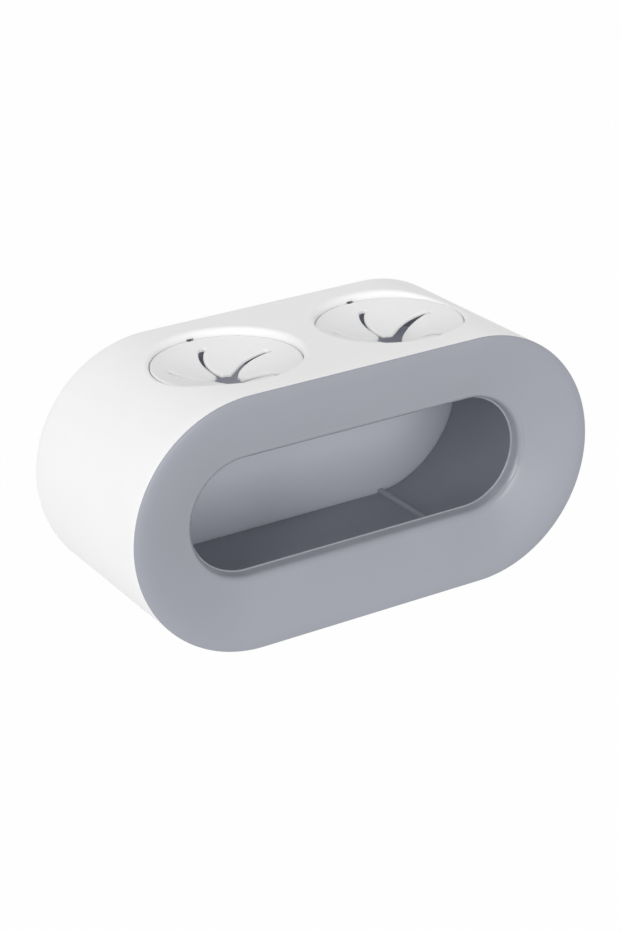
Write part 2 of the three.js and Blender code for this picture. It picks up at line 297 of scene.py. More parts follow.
# %% [markdown]
# ## Textures for plastic
# Moulded plastic is never one flat colour: it has faint patches from the melt and a fine grain from the
# mould. An image could hold both, but would need an unwrapped surface. Noise on Object coordinates needs
# none, runs on across every seam, and has its real size in millimetres.

# %% Noise, mixed colours and ramps


def noise(wire, size, detail):
    """Soft random field from 0 to 1 whose features are about size millimetres wide."""
    place = wire.node("ShaderNodeTexCoord", output="Object")
    spread = {"Vector": place, "Scale": 1 / (size * MM), "Detail": detail}
    return wire.node("ShaderNodeTexNoise", inputs=spread)


def mixed(wire, share, low, high):
    """Colour between two colours by a share from 0 to 1. Each is three numbers or a wire."""
    low, high = (colour if isinstance(colour, Wire) else (*colour, 1) for colour in (low, high))
    # Sockets 6 and 7 of a Mix node are its colours, and output 2 is the mixed colour.
    return wire.node("ShaderNodeMix", {"data_type": "RGBA"}, {0: share, 6: low, 7: high}, 2)


def ramp(wire, axis, start, end):
    """Share from 0 at start to 1 at end, two places in millimetres along X, Y or Z of the object."""
    place = wire.node("ShaderNodeTexCoord", output="Object")
    along = wire.node("ShaderNodeSeparateXYZ", inputs={0: place}, output=axis)
    return wire.node("ShaderNodeMapRange", inputs={0: along, 1: start * MM, 2: end * MM, 3: 0.0, 4: 1.0})


print("textures: noise, mixed colour, ramp")

# %% [markdown]
# ## One recipe for every finish
# All pieces are moulded, so one recipe serves them all: patches of two close colours, a middle roughness
# that the grain varies a little, and a bump from the same grain. Two extras work in places: a polished
# stretch that the mould gives, and a painted shade that turns the colour darker below a height.

# %% A moulded finish
PATCH_SIZE = 14.0
PATCH_DETAIL = 2.0
GRAIN_DETAIL = 3.0
ROUGHNESS_SPREAD = 0.1


def finish(name, dark, light, roughness, grain, grain_height, patch=PATCH_SIZE, polish=None, painted_shade_below=None):
    """Moulded finish: two close colours in soft patches, and a fine grain that roughens and dents it.

    Colour runs between dark and light with a noise of patch millimetres. Roughness is its middle value
    plus or minus half its spread, by a noise of grain millimetres, which also feeds a bump of
    grain_height millimetres. polish is (start, end, drop): between two depths along y the roughness
    falls by drop. painted_shade_below is (start, end, colour): between two heights along z the colour
    turns to a painted shade colour."""
    material = bpy.data.materials.new(name)
    material.use_nodes = True
    tree = material.node_tree
    shader = tree.nodes["Principled BSDF"]
    wire = Wire(tree)
    fine = noise(wire, grain, GRAIN_DETAIL)
    colour = mixed(wire, noise(wire, patch, PATCH_DETAIL), dark, light)
    rough = roughness - ROUGHNESS_SPREAD / 2 + fine * ROUGHNESS_SPREAD
    if polish:
        start, end, drop = polish
        rough = rough - ramp(wire, "Y", start, end) * drop
    # Painted shade: below a height along z the colour turns to a darker one.
    if painted_shade_below:
        start, end, painted_shade_colour = painted_shade_below
        colour = mixed(wire, ramp(wire, "Z", start, end), colour, painted_shade_colour)
    dents = {"Height": fine, "Distance": grain_height * MM, "Strength": 1.0}
    bump = wire.node("ShaderNodeBump", inputs=dents)
    tree.links.new(colour.socket, shader.inputs["Base Color"])
    tree.links.new(rough.socket, shader.inputs["Roughness"])
    tree.links.new(bump.socket, shader.inputs["Normal"])
    print("finish", name, "with", len(tree.nodes), "nodes")
    return material


print("patches of", PATCH_SIZE, "mm")

# %% [markdown]
# ## Finishes
# The shell is a satin white plastic and the clamps a softer and duller white. The front is a cool grey
# with a fine grain, and it is polished from its lip inwards. The pocket's sleeve has nearly the same grey.
# Its floor ribs are a lighter grey, partly wear and partly a painted highlight where their edges catch
# the light. The plate at the back of the pocket is much paler. The strips on the back are an open foam,
# with small patches and deep dents. Apart from the ribs' painted highlight, these colours are the plain
# ones of each plastic, so that they hold with other lamps too.

# %% The seven finishes
POLISH_START = 3.6
POLISH_END = 4.4
POLISH_DROP = 0.31
SOFT_RUBBER = {"dark": (0.83, 0.83, 0.83), "light": (0.87, 0.87, 0.87),
               "roughness": 0.55, "grain": 0.5, "grain_height": 0.006}
WHITE = finish("satin_white", dark=(0.85, 0.85, 0.85), light=(0.88, 0.88, 0.88),
               roughness=0.42, grain=0.35, grain_height=0.004)
SOFT_WHITE = finish("soft_white", **SOFT_RUBBER)
FRONT_GREY = finish("front_grey", dark=(0.283, 0.295, 0.335), light=(0.299, 0.312, 0.352),
                    roughness=0.4, grain=0.3, grain_height=0.003,
                    polish=(FRONT_Y + POLISH_START, FRONT_Y + POLISH_END, POLISH_DROP))
PLATE_GREY = finish("plate_grey", dark=(0.745, 0.761, 0.853), light=(0.772, 0.788, 0.88),
                    roughness=0.46, grain=0.3, grain_height=0.006)
SLEEVE_GREY = finish("sleeve_grey", dark=(0.278, 0.292, 0.342), light=(0.297, 0.311, 0.362),
                     roughness=0.5, grain=0.3, grain_height=0.006)
# Painted highlight in part: the ribs are lighter than the sleeve for edges that catch the light, and for
# wear.
RIB_GREY_WEAR_AND_HIGHLIGHT = finish("rib_grey_wear_and_highlight", dark=(0.385, 0.401, 0.449), light=(0.407, 0.423, 0.471),
                  roughness=0.45, grain=0.3, grain_height=0.006)
FOAM = finish("tape_foam", dark=(0.6, 0.6, 0.57), light=(0.72, 0.72, 0.69),
              roughness=0.9, grain=0.7, grain_height=0.08, patch=2.5)

# %% [markdown]
# ## Columns along the top
# The shell and the pocket's sleeve are stadium tubes with two round holes in the top. A tube is split
# there: its top is one path and the rest another, so that the top can be drawn apart. A few columns
# crowd together behind each hole, where a narrow drain slot is sunk into the wall.

# %% Top columns
TOP_TURN = 28.0
FLAT_STEPS = 16
BEND_STEPS = 12
# Offsets along the back edge of the top, a little wider than the slot they look down on.
DRAIN_COLUMNS = np.array([-1.16, -1.04, -0.5, 0.0, 0.5, 1.04, 1.16])
retainer_low, retainer_high = corners("right_retaining_ring")
CLAMP = ((retainer_low + retainer_high) / 2)[:2]

flat_shift = np.sort(np.append(np.linspace(0, STRAIGHT_HALF, FLAT_STEPS + 1), CLAMP[0] + DRAIN_COLUMNS))
bend_turn = np.linspace(90, 90 - TOP_TURN, BEND_STEPS + 1)[1:]
top_shift = np.append(flat_shift, np.full(BEND_STEPS, STRAIGHT_HALF))
top_turn = np.radians(np.append(np.full(len(flat_shift), 90.0), bend_turn))
TOP = (np.concatenate([-top_shift[:0:-1], top_shift]),
       np.concatenate([np.pi - top_turn[:0:-1], top_turn]))
side_turn = np.linspace(90 - TOP_TURN, -90, END_COLUMNS + 1)
REST = (np.repeat([STRAIGHT_HALF, -STRAIGHT_HALF], END_COLUMNS + 1),
        np.radians(np.concatenate([side_turn, -180 - side_turn[::-1]])))
print("top columns:", len(TOP[0]), "rest columns:", len(REST[0]))

# %% [markdown]
# ## Ripple patches
# Cutting the holes with a boolean would leave long thin faces that shade badly. Instead each half of the
# top is a patch whose rows start on a rectangle and close in on a circle, like ripples in a square pool.
# The rows then roll over the rim, go down the well and come back out on the inner face.

# %% Ripple patches
DRAIN_WIDTH = 1.7
DEPTH_STEPS = 26
RIPPLE_STEPS = 12
RIPPLE_CROWD = 1.5


def roof(x, radius):
    """Height of the tube's top at x: level between the ends, then a circle of the given radius."""
    return np.sqrt(radius ** 2 - np.clip(np.abs(x) - STRAIGHT_HALF, 0, radius) ** 2)


def pool_edge(radius, low_y, high_y):
    """Points round the rectangle of top columns and depths on a tube of the given radius."""
    x = top_shift + radius * np.cos(top_turn)
    y = np.linspace(low_y, high_y, DEPTH_STEPS + 1)
    front = np.stack([x, np.full_like(x, low_y)], 1)
    right = np.stack([np.full_like(y, x[-1]), y], 1)
    back, middle = front + [0, high_y - low_y], right - [x[-1], 0]
    return np.concatenate([front[:-1], right[:-1], back[:0:-1], middle[:0:-1]])


def ripple_patch(outer, inner, depths, rim, rim_round, steps, hem):
    """Rows from the outer face's rectangle to the rim, over its rounding, down the steps and back out.

    On a face, a row is a share of the way from a circle to the rectangle, at the roof's height. The
    rounding is a quarter circle hung below the roof. steps are (radius, z, drain radius) rings: the
    columns of the drain, at the back, take the last value, and no ring lies above the one before.
    hem is the radius at which the inner face begins."""
    edge_out, edge_in = pool_edge(outer, *depths), pool_edge(inner, *depths)
    away = unit(edge_out - CLAMP)
    share = np.linspace(1, 0, RIPPLE_STEPS + 1)[:, None, None] ** RIPPLE_CROWD
    ring = CLAMP + (rim + rim_round) * away
    plan = ring + (edge_out - ring) * share
    rows = [np.dstack([plan, roof(plan[..., 0], outer)])]
    swing = np.linspace(0, np.pi / 2, ARC_STEPS + 1)[1:, None, None]
    plan = CLAMP + (rim + rim_round * (1 - np.sin(swing))) * away
    rows.append(np.dstack([plan, roof(plan[..., 0], outer) - rim_round * (1 - np.cos(swing[..., 0]))]))
    drain = (np.abs(away[:, :1]) * rim < DRAIN_WIDTH / 2) & (away[:, 1:] > 0)
    for radius, height, drain_radius in steps:
        plan = CLAMP + np.where(drain, drain_radius, radius) * away
        rows.append(np.dstack([plan[None], np.minimum(height, rows[-1][-1:, :, 2])]))
    ring = CLAMP + hem * away
    plan = ring + (edge_in - ring) * share[::-1]
    rows.append(np.dstack([plan, roof(plan[..., 0], inner)]))
    return np.concatenate(rows)


print("points round one pool:", len(pool_edge(END_RADIUS, shell_low[1], shell_high[1])))

# %% Sleeves with two holes


def holed_sleeve(front, rear, outer, inner, depths, **hole):
    """Grids of a stadium tube: front and rear edge profiles, a plain sweep, and two ripple patches."""
    y = np.linspace(*depths, DEPTH_STEPS + 1)
    outer_face = np.stack([np.full_like(y, outer), y], 1)
    inner_face = np.stack([np.full_like(y, inner), y[::-1]], 1)
    section = np.concatenate([outer_face, rear, inner_face, front])
    patch = ripple_patch(outer, inner, depths, **hole)
    return [grid(swept(section, REST), loop_columns=True), grid(swept(front, TOP)), grid(swept(rear, TOP)),
            grid(patch, loop_columns=True), grid(patch * [-1, 1, 1], loop_columns=True)]


print("depth steps of a sleeve:", DEPTH_STEPS)

# %% [markdown]
# ## The shell
# The white shell carries everything. Its back edge is well rounded, and its front edge stops at a fine
# seam close behind the face of the grey front. Each well in the top has a rounded rim, a short upright
# wall and a ledge below for the soft ring. Two shallow grooves inside hold the front and the back panel.
# All of that is in two edge profiles and a few rings, so the tube needs no modifier.

# %% Shell sizes
SMALL_ROUND = 0.1
SHELL_FRONT_ROUND = 0.4
SHELL_REAR_ROUND = 1.2
SHELL_LIP_ROUND = 0.3
EDGE_BAND = 2.6
GROOVE_DEPTH = 0.5
GROOVE_HALF = 0.75
FLANGE_THICKNESS = 2.0
SKIRT_LENGTH = 3.0
BEAD_SETBACK = 1.2
SEAM_DEPTH = 0.6
SEAM_GAP = 0.12
WELL_RIM_ROUND = 1.1
WELL_DEPTH = 1.7
RING_RIM = 1.9
CUP_WALL = 1.5
LEDGE_WIDTH = 2.0
LEDGE_THICKNESS = 1.6
DRAIN_RISE = 0.15
DRAIN_SKIN = 0.15

ring_low, ring_high = corners("right_clamp_ring")
RING_RADIUS = (ring_high[0] - ring_low[0]) / 2
WELL_RADIUS = RING_RADIUS + FIT_GAP
LEDGE_TOP = END_RADIUS - WELL_DEPTH - RING_RIM
LEDGE_BORE = WELL_RADIUS - LEDGE_WIDTH
SKIRT_END_Y = FRONT_Y + FLANGE_THICKNESS + SKIRT_LENGTH
FRONT_SNAP_Y = SKIRT_END_Y - BEAD_SETBACK
REAR_SNAP_Y = (panel_low[1] + panel_high[1]) / 2
SEAM_Y = FRONT_Y + SEAM_DEPTH
print(f"well radius {WELL_RADIUS:.2f}, ledge at z {LEDGE_TOP:.2f}, seam at y {SEAM_Y:.2f}")

# %% Outer shell


def groove(radius, middle):
    """Corners of a shallow groove in an inner face, walked from back to front."""
    near, far = middle + GROOVE_HALF, middle - GROOVE_HALF
    deep = radius + GROOVE_DEPTH
    return [(r, y, SMALL_ROUND) for r, y in [(radius, near), (deep, near), (deep, far), (radius, far)]]


shell_depths = (shell_low[1] + EDGE_BAND, shell_high[1] - EDGE_BAND - FIT_GAP)
shell_front = rounded([(SHELL_INNER, shell_depths[0], 0), *groove(SHELL_INNER, FRONT_SNAP_Y),
                       (SHELL_INNER, SEAM_Y + SEAM_GAP, SMALL_ROUND),
                       (END_RADIUS, SEAM_Y + SEAM_GAP, SHELL_FRONT_ROUND),
                       (END_RADIUS, shell_depths[0], 0)], closed=False)
shell_rear = rounded([(END_RADIUS, shell_depths[1], 0), (END_RADIUS, shell_high[1], SHELL_REAR_ROUND),
                      (SHELL_INNER, shell_high[1], SHELL_LIP_ROUND), *groove(SHELL_INNER, REAR_SNAP_Y),
                      (SHELL_INNER, shell_depths[1], 0)], closed=False)
cup_radius = WELL_RADIUS + CUP_WALL
ledge_bottom = LEDGE_TOP - LEDGE_THICKNESS
drain_top = END_RADIUS - WELL_DEPTH + DRAIN_RISE
drain_end = cup_radius - DRAIN_SKIN
well_steps = [(WELL_RADIUS, drain_top, WELL_RADIUS), (WELL_RADIUS, drain_top, drain_end),
              (WELL_RADIUS, LEDGE_TOP, drain_end), (LEDGE_BORE, LEDGE_TOP, LEDGE_BORE),
              (LEDGE_BORE, ledge_bottom, LEDGE_BORE), (cup_radius, ledge_bottom, cup_radius)]
shell_grids = holed_sleeve(shell_front, shell_rear, END_RADIUS, SHELL_INNER, shell_depths,
                           rim=WELL_RADIUS, rim_round=WELL_RIM_ROUND, steps=well_steps, hem=cup_radius)
shell = piece("shell", shell_grids, WHITE)
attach(shell, "housing")
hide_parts("outer_shell")

# %% [markdown]
# ## The front
# The grey front is one profile carried round the stadium: a shallow rounded rim close before the seam, a
# face that starts flat and sinks towards the window, a rounded lip, and a flared wall into the pocket
# that ends in a small step. Behind, a skirt with a bead snaps into the shell. The curve of the face is
# quadratic: flat at the rim, steepest at the lip, which is what makes the right side of the ring lighter
# than the left under a lamp. A plain cone would show a hard edge where the flat rim ends.

# %% Front sizes
RIM_REACH = 1.8
RIM_DEPTH = 0.5
FLANGE_BACK_ROUND = 0.08
WINDOW_RADIUS = 13.9
DISH_DEPTH = 4.0
DISH_SLOPE = 22.0
LIP_ROUND = 2.0
LIP_WALL = 1.8
LIP_FLARE = 11.0
LIP_SETBACK = 0.6
STEP_WIDTH = 0.3
STEP_DEPTH = 0.45
STEP_ROUND = 0.14
BEZEL_WALL = 1.9
BEAD_HEIGHT = 0.5
BEAD_HALF = 0.45
BEAD_TOP_SHARE = 0.5
RIM_STEPS = 10
DISH_STEPS = 40
LIP_STEPS = 12
print(f"window {2 * (STRAIGHT_HALF + WINDOW_RADIUS):.1f} by {2 * WINDOW_RADIUS:.1f} mm")

# %% Front bezel


def bead(radius, middle, toward):
    """Corners of a snap bead on an edge, walked in the direction toward, 1 or -1, along y."""
    outside = radius + BEAD_HEIGHT
    walk = [(radius, -1), (outside, -BEAD_TOP_SHARE), (outside, BEAD_TOP_SHARE), (radius, 1)]
    return [(r, middle + toward * share * BEAD_HALF, SMALL_ROUND) for r, share in walk]


tilt, flare = math.radians(DISH_SLOPE), math.radians(LIP_FLARE)
lip_centre = (WINDOW_RADIUS + LIP_ROUND, FRONT_Y + DISH_DEPTH + LIP_ROUND * math.cos(tilt))
lip_end = (lip_centre[0] - LIP_ROUND * math.cos(flare), lip_centre[1] - LIP_ROUND * math.sin(flare))
lip_end_y = bezel_high[1] - LIP_SETBACK
lip_back = WINDOW_RADIUS + LIP_WALL
step_y = lip_end_y - STEP_DEPTH
step_outer = lip_end[0] - (step_y - lip_end[1]) * math.tan(flare)
step_inner = step_outer - STEP_WIDTH
dish_end = lip_centre[0] - LIP_ROUND * math.sin(tilt)
dish_turn = dish_end + DISH_DEPTH / math.tan(tilt)
dish_back_y = FRONT_Y + DISH_DEPTH + BEZEL_WALL
flange_back_y = FRONT_Y + FLANGE_THICKNESS
skirt_inner = LINER_OUTER - BEZEL_WALL
rim_start = END_RADIUS - RIM_REACH
rim_y = FRONT_Y + RIM_DEPTH
bezel_profile = np.concatenate([
    arc((0, 0), 1.0, 0, -90, RIM_STEPS) * [RIM_REACH, RIM_DEPTH] + [rim_start, rim_y],
    curve((rim_start, FRONT_Y), (dish_turn, FRONT_Y), (dish_end, FRONT_Y + DISH_DEPTH), DISH_STEPS),
    arc(lip_centre, LIP_ROUND, -90 - DISH_SLOPE, LIP_FLARE - 180, LIP_STEPS),
    rounded([(*lip_end, 0), (step_outer, step_y, STEP_ROUND), (step_inner, step_y, STEP_ROUND),
             (step_inner, lip_end_y, STEP_ROUND), (lip_back, lip_end_y, STEP_ROUND),
             (lip_back, dish_back_y, 0)], closed=False),
    curve((lip_back, dish_back_y), (dish_turn, flange_back_y), (skirt_inner, flange_back_y), DISH_STEPS),
    rounded([(skirt_inner, flange_back_y, 0), (skirt_inner, SKIRT_END_Y, SMALL_ROUND),
             (LINER_OUTER, SKIRT_END_Y, SMALL_ROUND), *bead(LINER_OUTER, FRONT_SNAP_Y, -1),
             (LINER_OUTER, SEAM_Y, SMALL_ROUND), (END_RADIUS, SEAM_Y, FLANGE_BACK_ROUND),
             (END_RADIUS, rim_y, 0)], closed=False)])
bezel = piece("bezel", [grid(swept(bezel_profile, STADIUM), True, True)], FRONT_GREY)
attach(bezel, "housing")
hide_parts("front_bezel")

# %% [markdown]
# ## The pocket's sleeve
# A grey sleeve lines the pocket between the front and the back panel, cut away round the two cups. It is
# the shell's kind of tube with plainer edges, so the same function makes it. A small grey tab at the back
# of each drain slot, in the same mesh, is a painted shadow: a dark sheet that gives the slot a dark end
# where its back would be white wall in shade. The tab is a rounded rectangle drawn upwards.

# %% Pocket sleeve
LINER_WALL = 2.2
LINER_EDGE_ROUND = 0.2
LINER_BAND = 0.4
TAB_HALF = 0.8
TAB_THICKNESS = 0.25

liner_inner = LINER_OUTER - LINER_WALL
liner_depths = (liner_low[1] + LINER_BAND, liner_high[1] - LINER_BAND)
liner_front = rounded([(liner_inner, liner_depths[0], 0), (liner_inner, liner_low[1], LINER_EDGE_ROUND),
                       (LINER_OUTER, liner_low[1], LINER_EDGE_ROUND), (LINER_OUTER, liner_depths[0], 0)],
                      closed=False)
liner_rear = rounded([(LINER_OUTER, liner_depths[1], 0), (LINER_OUTER, liner_high[1], LINER_EDGE_ROUND),
                      (liner_inner, liner_high[1], LINER_EDGE_ROUND), (liner_inner, liner_depths[1], 0)],
                     closed=False)
cup_clear = cup_radius + FIT_GAP
sleeve_grids = holed_sleeve(liner_front, liner_rear, LINER_OUTER, liner_inner, liner_depths,
                            rim=cup_clear, rim_round=SMALL_ROUND, steps=[], hem=cup_clear)

# Painted shadow: a grey tab at the back of each drain slot darkens the slot's end.
tab_near = CLAMP[1] + drain_end - TAB_THICKNESS
tab_far = CLAMP[1] + cup_clear + TAB_THICKNESS
tab_plan = rounded([(-TAB_HALF, tab_near, SMALL_ROUND), (TAB_HALF, tab_near, SMALL_ROUND),
                    (TAB_HALF, tab_far, SMALL_ROUND), (-TAB_HALF, tab_far, SMALL_ROUND)])
tab_levels = np.array([liner_inner + SMALL_ROUND, drain_top - SMALL_ROUND])[:, None]
for centre_x in (-CLAMP[0], CLAMP[0]):
    tab = np.stack(np.broadcast_arrays(centre_x + tab_plan[:, 0], tab_plan[:, 1], tab_levels), -1)
    sleeve_grids.append(grid(tab, loop_columns=True, shut=(0, -1)))
liner = piece("pocket_sleeve", sleeve_grids, SLEEVE_GREY)
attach(liner, "housing")
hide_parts("inner_liner")

# %% [markdown]
# ## Floor ribs
# Two thin ribs run from front to back on the pocket's floor, to keep wet handles off it. A rib is a bar:
# one section with a rounded top, drawn from the sleeve's front to the back panel. It reaches half way
# into the sleeve's wall, so that no gap shows below it.

# %% Floor ribs
RIB_SPAN = 63.0
RIB_WIDTH = 1.3
RIB_HEIGHT = 0.9
RIB_ROUND = 0.25
RIB_SIDES = {"left": -RIB_SPAN / 2, "right": RIB_SPAN / 2}

rib_foot = -liner_inner - LINER_WALL / 2
rib_top = -liner_inner + RIB_HEIGHT
rib_half = RIB_WIDTH / 2
rib_section = rounded([(-rib_half, rib_foot, 0), (rib_half, rib_foot, 0),
                       (rib_half, rib_top, RIB_ROUND), (-rib_half, rib_top, RIB_ROUND)])
rib_ends = np.array([liner_low[1], panel_low[1]])[:, None]
for side, middle in RIB_SIDES.items():
    bar = np.stack(np.broadcast_arrays(middle + rib_section[:, 0], rib_ends, rib_section[:, 1]), -1)
    rib = piece(f"floor_rib_{side}", [grid(bar, loop_columns=True, shut=(0, -1))], RIB_GREY_WEAR_AND_HIGHLIGHT)
    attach(rib, "housing")

# %% [markdown]
# ## The back plate
# A pale plate closes the pocket and snaps into the shell's rear groove. It is a stadium too, so its edge
# profile starts and ends on the middle line: carried round the path, it closes both faces by itself.

# %% Back plate
PANEL_EDGE_ROUND = 0.2
panel_edge = rounded([(0, panel_low[1], 0), (LINER_OUTER, panel_low[1], PANEL_EDGE_ROUND),
                      *bead(LINER_OUTER, REAR_SNAP_Y, 1), (LINER_OUTER, panel_high[1], PANEL_EDGE_ROUND),
                      (0, panel_high[1], 0)], closed=False)
panel = piece("back_plate", [grid(swept(panel_edge, STADIUM), True)], PLATE_GREY)
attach(panel, "housing")
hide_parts("back_panel")

# %% [markdown]
# ## Foam strips
# Three strips of double-sided foam hold the panel to the wall. A strip is a rounded rectangle: four
# quarter circles about the corners of a smaller rectangle, with the edge profile carried round them. A
# bevelled box would do as well, but this way its corners keep their size whatever the strip's length.

# %% Foam tape
TAPE_CORNER = 3.0
TAPE_EDGE_ROUND = 0.15
QUARTER_COLUMNS = 10


def strip(low, high):
    """Grid of a flat strip: its edge profile follows four quarter circles, and flat faces shut it."""
    centre, half = (low + high) / 2, (high - low) / 2
    turn = np.radians(np.linspace(0, 90, QUARTER_COLUMNS + 1)[None] + np.arange(4)[:, None] * 90)
    sign_x, sign_z = np.sign(np.cos(turn.mean(1))), np.sign(np.sin(turn.mean(1)))
    corner_x = (centre[0] + sign_x * (half[0] - TAPE_CORNER))[:, None, None]
    corner_z = (centre[2] + sign_z * (half[2] - TAPE_CORNER))[:, None, None]
    edge = rounded([(0, low[1], 0), (TAPE_CORNER, low[1], TAPE_EDGE_ROUND),
                    (TAPE_CORNER, high[1], TAPE_EDGE_ROUND), (0, high[1], 0)], closed=False)
    x = corner_x + edge[:, 0] * np.cos(turn)[..., None]
    z = corner_z + edge[:, 0] * np.sin(turn)[..., None]
    points = np.stack([x, np.broadcast_to(edge[:, 1], x.shape), z], -1).reshape(-1, len(edge), 3)
    return grid(points.transpose(1, 0, 2), loop_columns=True, shut=(0, -1))


for side in ("left", "middle", "right"):
    tape = piece(f"foam_strip_{side}", [strip(*corners(f"tape_{side}"))], FOAM)
    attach(tape, "housing")
    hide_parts(f"tape_{side}")

# %% [markdown]
# ## Clamp rings
# Each clamp is one soft moulding on the real holder: a ring that drops into the well and five petals
# that droop into a funnel. The ring is turned about the clamp's axis. Its rim has a small notch at the
# back, so the columns crowd together there, and the rim's radius is pulled in between them. Below the
# web the ring's white turns to a grey of painted shade, which makes the ends of the slits look dark.

# %% Ring sizes and the funnel
FUNNEL_SLOPE = math.radians(15.6)
PETAL_THICKNESS = 1.0
RING_SKIRT = 1.0
RING_BEAD = 0.6
RING_BEAD_HEIGHT = 0.8
RING_EDGE_ROUND = 0.35
RIM_GAP = 0.15
NOTCH_TURN = math.radians(90)
NOTCH_DEPTH = 0.6
NOTCH_RAMP = 0.1
NOTCH_COLUMNS = 41
TURN_DIGITS = 6
SLIT_HOLE_LAND = 0.6
WEB_EDGE = 0.3
# Grey of the painted shade on the soft ring below its web.
PAINTED_SHADE_GREY = (0.26, 0.273, 0.32)
CLAMPS = {"left": CLAMP * [-1, 1], "right": CLAMP}


def funnel(radius):
    """Height of the funnel's upper face: a cone that sinks from the rim of the well to its middle."""
    return END_RADIUS - WELL_DEPTH - (WELL_RADIUS - radius) * math.tan(FUNNEL_SLOPE)


skirt_outer = LEDGE_BORE - FIT_GAP
skirt_bore = skirt_outer - RING_SKIRT
WEB_RADIUS = skirt_bore - SLIT_HOLE_LAND
print(f"web radius {WEB_RADIUS:.2f}, funnel sinks to z {funnel(0):.2f}")

# %% The soft ring's profile and notch
bead_top = ring_low[2] + RING_BEAD_HEIGHT
web_under = funnel(skirt_bore) - PETAL_THICKNESS / math.cos(FUNNEL_SLOPE)
rim_radius = WELL_RADIUS - RIM_GAP
# The soft ring's white with a painted shade: grey below the web, to darken the ends of the slits.
RING_WHITE_AND_PAINTED_SHADE = finish("ring_white_and_painted_shade", **SOFT_RUBBER,
                    painted_shade_below=(web_under + SMALL_ROUND, web_under - SMALL_ROUND, PAINTED_SHADE_GREY))
ring_profile = rounded([
    (WEB_RADIUS, funnel(WEB_RADIUS), 0), (rim_radius, funnel(rim_radius), RING_EDGE_ROUND),
    (rim_radius, LEDGE_TOP, SMALL_ROUND), (skirt_outer, LEDGE_TOP, SMALL_ROUND),
    (skirt_outer, bead_top, 0), (skirt_outer + RING_BEAD, bead_top, SMALL_ROUND),
    (skirt_outer, ring_low[2], SMALL_ROUND), (skirt_bore, ring_low[2], SMALL_ROUND),
    (skirt_bore, web_under, 0), (WEB_RADIUS, funnel(WEB_RADIUS) - WEB_EDGE, 0)])

even_turn = np.linspace(0, 2 * np.pi, TURN_COLUMNS, endpoint=False)
notch_turn = NOTCH_TURN + np.linspace(-DRAIN_WIDTH, DRAIN_WIDTH, NOTCH_COLUMNS) / RING_RADIUS
ring_turn = np.unique(np.concatenate([even_turn, notch_turn]).round(TURN_DIGITS))
# The notch is a flat-bottomed dip in the rim, with short ramps at its ends.
notch_away = np.abs(ring_turn - NOTCH_TURN)[:, None] * RING_RADIUS
notch_dip = np.clip((DRAIN_WIDTH / 2 - notch_away) / NOTCH_RAMP, 0, 1)
ring_radius = np.minimum(ring_profile[:, 0], rim_radius - NOTCH_DEPTH * notch_dip)
print("ring columns:", len(ring_turn), "points in the profile:", len(ring_profile))

# %% [markdown]
# ## Keepers
# Below each ledge, a rigid ring clips over the soft ring's skirt and keeps it from being pulled out with
# a brush. It is hidden in use and shows only from below, through the pocket: a plain turned ring.

# %% Both clamps, each a soft ring with its keeper
keeper_outer = (retainer_high[0] - retainer_low[0]) / 2
keeper_bore = skirt_outer + FIT_GAP
keeper_profile = rounded([(keeper_bore, retainer_low[2], LINER_EDGE_ROUND),
                          (keeper_outer, retainer_low[2], LINER_EDGE_ROUND),
                          (keeper_outer, retainer_high[2], LINER_EDGE_ROUND),
                          (keeper_bore, retainer_high[2], LINER_EDGE_ROUND)])
for side, centre in CLAMPS.items():
    ring_grid = grid(turned(ring_radius, ring_profile[:, 1], ring_turn, centre), True, True)
    ring = piece(f"{side}_soft_ring", [ring_grid], RING_WHITE_AND_PAINTED_SHADE)
    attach(ring, "housing")
    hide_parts(f"{side}_clamp_ring")
    keeper_grid = grid(turned(keeper_profile[:, 0], keeper_profile[:, 1], even_turn, centre), True, True)
    keeper = piece(f"{side}_keeper", [keeper_grid], WHITE)
    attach(keeper, "housing")
    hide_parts(f"{side}_retaining_ring")

# %% [markdown]
# ## The slit between two petals
# The petals are cut by curved slits like the blades of a pinwheel, and each slit ends in a small round
# hole so that it doesn't tear. A slit is an arc of a circle through two points, one near the middle and
# one near the skirt, so its angle at a distance from the axis follows from the law of cosines.

# %% Slit
PETAL_COUNT = 5
TIP_RADIUS = 2.8
SLIT_BEND = 9.0
SLIT_TWIST = math.radians(18.2)
SLIT_END_LAND = 0.2
SLIT_INNER_GAP = 0.7
SLIT_OUTER_GAP = 1.2
SLIT_FLARE = 0.45
FLARE_REACH = 2.8
SLIT_HOLE_RADIUS = 0.65
HOLE_CENTRE = WEB_RADIUS - SLIT_HOLE_RADIUS
petal_pitch = 2 * np.pi / PETAL_COUNT

slit_outer = np.array([skirt_bore - SLIT_END_LAND, 0.0])
slit_inner = TIP_RADIUS * np.array([math.cos(SLIT_TWIST), math.sin(SLIT_TWIST)])
chord = slit_outer - slit_inner
across = np.array([chord[1], -chord[0]]) / np.linalg.norm(chord)
slit_centre = (slit_outer + slit_inner) / 2 + across * math.sqrt(SLIT_BEND ** 2 - chord @ chord / 4)


def slit_turn(radius):
    """Angle of the slit's middle line at a distance from the axis, by the law of cosines."""
    reach = np.linalg.norm(slit_centre)
    cosine = (radius ** 2 + reach ** 2 - SLIT_BEND ** 2) / (2 * radius * reach)
    return math.atan2(slit_centre[1], slit_centre[0]) + np.arccos(cosine)


